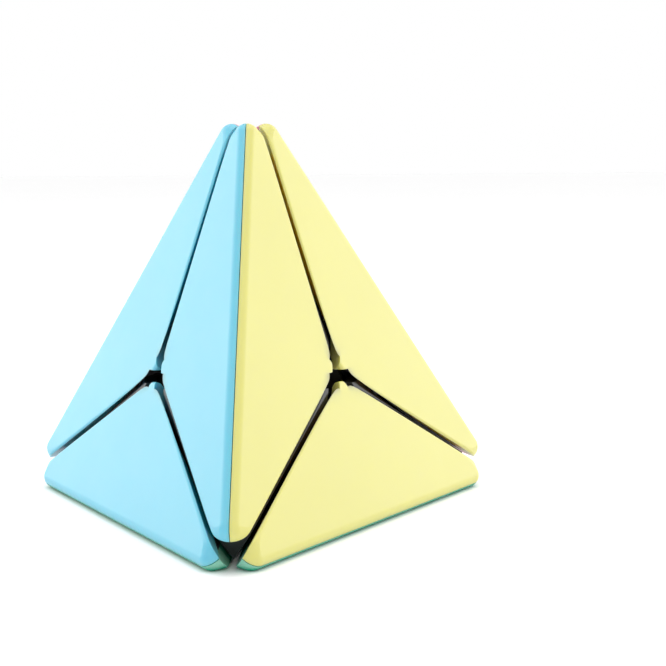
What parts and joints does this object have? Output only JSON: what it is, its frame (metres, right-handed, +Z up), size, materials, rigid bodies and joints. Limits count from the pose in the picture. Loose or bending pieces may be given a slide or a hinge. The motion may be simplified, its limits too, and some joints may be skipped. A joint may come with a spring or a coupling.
{
  "type": "pyramid twisty puzzle",
  "caption": "Pyramid twisty puzzle: a pastel tetrahedron of two-coloured edge pieces that turn in layers about its corners, on a sprung core.",
  "frame": {"origin": "centre of the core, where the turning axes meet", "axes": "+Z up through the top corner, -Y towards the front corner, base plane square to Z"},
  "size_m": [0.0856, 0.0766, 0.0707],
  "materials": {
    "blue_plastic": "satin",
    "yellow_plastic": "satin",
    "green_plastic": "satin",
    "pink_plastic": "satin",
    "black_plastic": "satin",
    "body_black": "satin",
    "core_black": "satin",
    "steel": "satin",
    "spring_steel": "satin"
  },
  "bodies": {
    "core": {"core": "core_black", "top_screw": "steel", "top_washer": "steel", "top_spring": "spring_steel", "front_screw": "steel", "front_washer": "steel", "front_spring": "spring_steel", "left_screw": "steel", "left_washer": "steel", "left_spring": "spring_steel", "right_screw": "steel", "right_washer": "steel", "right_spring": "spring_steel"},
    "hub_top": {"top_hub": "black_plastic", "top_tip": "black_plastic"},
    "hub_front": {"front_hub": "black_plastic", "front_tip": "black_plastic"},
    "hub_left": {"left_hub": "black_plastic", "left_tip": "black_plastic"},
    "hub_right": {"right_hub": "black_plastic", "right_tip": "black_plastic"},
    "front_edge": {"front_edge_body": "body_black", "front_edge_cap_yellow": "yellow_plastic", "front_edge_cap_blue": "blue_plastic"},
    "left_edge": {"left_edge_body": "body_black", "left_edge_cap_pink": "pink_plastic", "left_edge_cap_blue": "blue_plastic"},
    "right_edge": {"right_edge_body": "body_black", "right_edge_cap_pink": "pink_plastic", "right_edge_cap_yellow": "yellow_plastic"},
    "base_left_edge": {"base_left_edge_body": "body_black", "base_left_edge_cap_green": "green_plastic", "base_left_edge_cap_blue": "blue_plastic"},
    "base_right_edge": {"base_right_edge_body": "body_black", "base_right_edge_cap_green": "green_plastic", "base_right_edge_cap_yellow": "yellow_plastic"},
    "base_back_edge": {"base_back_edge_body": "body_black", "base_back_edge_cap_green": "green_plastic", "base_back_edge_cap_pink": "pink_plastic"}
  },
  "joints": [
    {"name": "layer_top", "type": "hinge", "parent": "core", "child": "hub_top", "pos_m": [0, 0, 0], "axis": [0, 0, 1], "continuous": true},
    {"name": "layer_front", "type": "hinge", "parent": "core", "child": "hub_front", "pos_m": [0, 0, 0], "axis": [0, -0.9428, -0.3333], "range_deg": [-360, 360]},
    {"name": "layer_left", "type": "hinge", "parent": "core", "child": "hub_left", "pos_m": [0, 0, 0], "axis": [-0.8165, 0.4714, -0.3333], "range_deg": [-360, 360]},
    {"name": "layer_right", "type": "hinge", "parent": "core", "child": "hub_right", "pos_m": [0, 0, 0], "axis": [0.8165, 0.4714, -0.3333], "range_deg": [-360, 360]},
    {"name": "front_edge_with_front", "type": "hinge", "parent": "hub_top", "child": "front_edge", "pos_m": [0, 0, 0], "axis": [0, -0.9428, -0.3333], "range_deg": [-360, 360]},
    {"name": "left_edge_with_left", "type": "hinge", "parent": "hub_top", "child": "left_edge", "pos_m": [0, 0, 0], "axis": [-0.8165, 0.4714, -0.3333], "range_deg": [-360, 360]},
    {"name": "right_edge_with_right", "type": "hinge", "parent": "hub_top", "child": "right_edge", "pos_m": [0, 0, 0], "axis": [0.8165, 0.4714, -0.3333], "range_deg": [-360, 360]},
    {"name": "base_left_edge_with_left", "type": "hinge", "parent": "hub_front", "child": "base_left_edge", "pos_m": [0, 0, 0], "axis": [-0.8165, 0.4714, -0.3333], "range_deg": [-360, 360]},
    {"name": "base_back_edge_with_right", "type": "hinge", "parent": "hub_left", "child": "base_back_edge", "pos_m": [0, 0, 0], "axis": [0.8165, 0.4714, -0.3333], "range_deg": [-360, 360]},
    {"name": "base_right_edge_with_front", "type": "hinge", "parent": "hub_right", "child": "base_right_edge", "pos_m": [0, 0, 0], "axis": [0, -0.9428, -0.3333], "range_deg": [-360, 360]}
  ],
  "couplings": [
    {"joint": "front_edge_with_front", "follows": "layer_front", "ratio": 1},
    {"joint": "left_edge_with_left", "follows": "layer_left", "ratio": 1},
    {"joint": "right_edge_with_right", "follows": "layer_right", "ratio": 1},
    {"joint": "base_left_edge_with_left", "follows": "layer_left", "ratio": 1},
    {"joint": "base_back_edge_with_right", "follows": "layer_right", "ratio": 1},
    {"joint": "base_right_edge_with_front", "follows": "layer_front", "ratio": 1}
  ]
}
